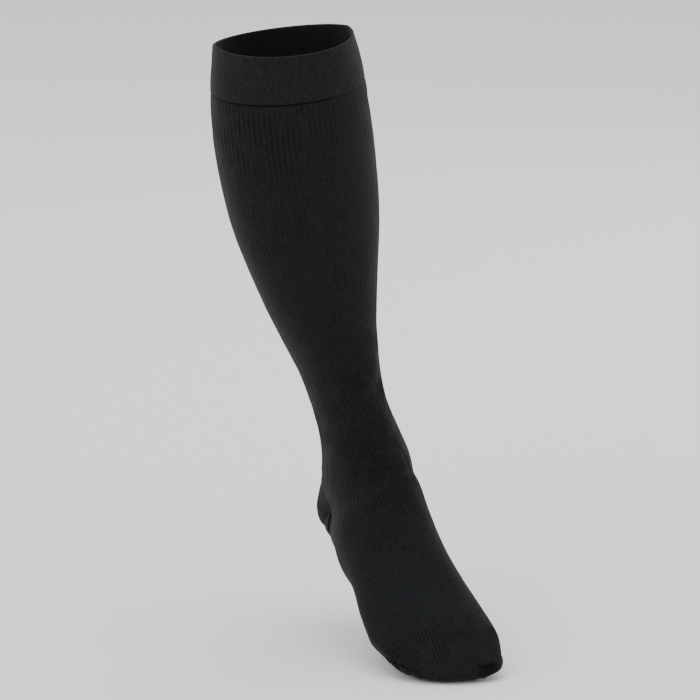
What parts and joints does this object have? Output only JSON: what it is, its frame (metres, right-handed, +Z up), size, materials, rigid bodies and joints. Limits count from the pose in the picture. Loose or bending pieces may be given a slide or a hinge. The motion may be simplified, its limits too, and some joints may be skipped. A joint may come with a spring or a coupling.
{
  "type": "compression stocking",
  "caption": "Knee-high closed-toe compression stocking in ribbed knit, in its hollow worn form with the toe pointed down.",
  "frame": {"origin": "centre of the top opening, where the calf below the knee holds the stocking up", "axes": "+Z up, -Y to the front where the toes point, +X to the inner side of the leg; the leg leans 10 degrees about Y"},
  "size_m": [0.2186, 0.2005, 0.4719],
  "materials": {
    "band_knit": "matt charcoal nylon and elastane knit, plain, a welt of two layers",
    "rib_knit": "matt charcoal nylon and elastane knit in fine vertical ribs, with a soft pale fuzz at grazing angles",
    "plain_knit": "matt charcoal nylon and elastane knit, plain and a little closer"
  },
  "bodies": {
    "root": {"top_band": "band_knit", "leg": "rib_knit", "foot": "rib_knit", "heel_pocket": "plain_knit", "toe_pocket": "plain_knit"}
  },
  "joints": []
}
